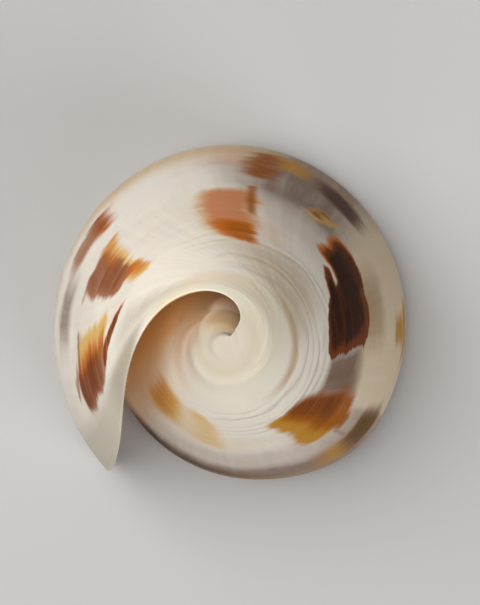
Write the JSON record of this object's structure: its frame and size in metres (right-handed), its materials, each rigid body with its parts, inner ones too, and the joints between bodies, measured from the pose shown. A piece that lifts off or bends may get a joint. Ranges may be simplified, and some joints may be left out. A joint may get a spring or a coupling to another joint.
{
  "type": "cone shell",
  "caption": "Cone-shaped sea shell with a flat spire, a tapering side and a long narrow mouth behind a thin outer lip, standing on its spire.",
  "frame": {"origin": "middle of the outline, on the plane that the flat spire rests on", "axes": "+Z along the coiling axis, from the spire to the narrow front end; +X and +Y across, with the shoulder of the outer lip towards -X and -Y"},
  "size_m": [0.0318, 0.0302, 0.052],
  "materials": {
    "shell": "gloss, white and cream with brown and orange blotches"
  },
  "bodies": {
    "root": {"shell": "shell"}
  },
  "joints": []
}
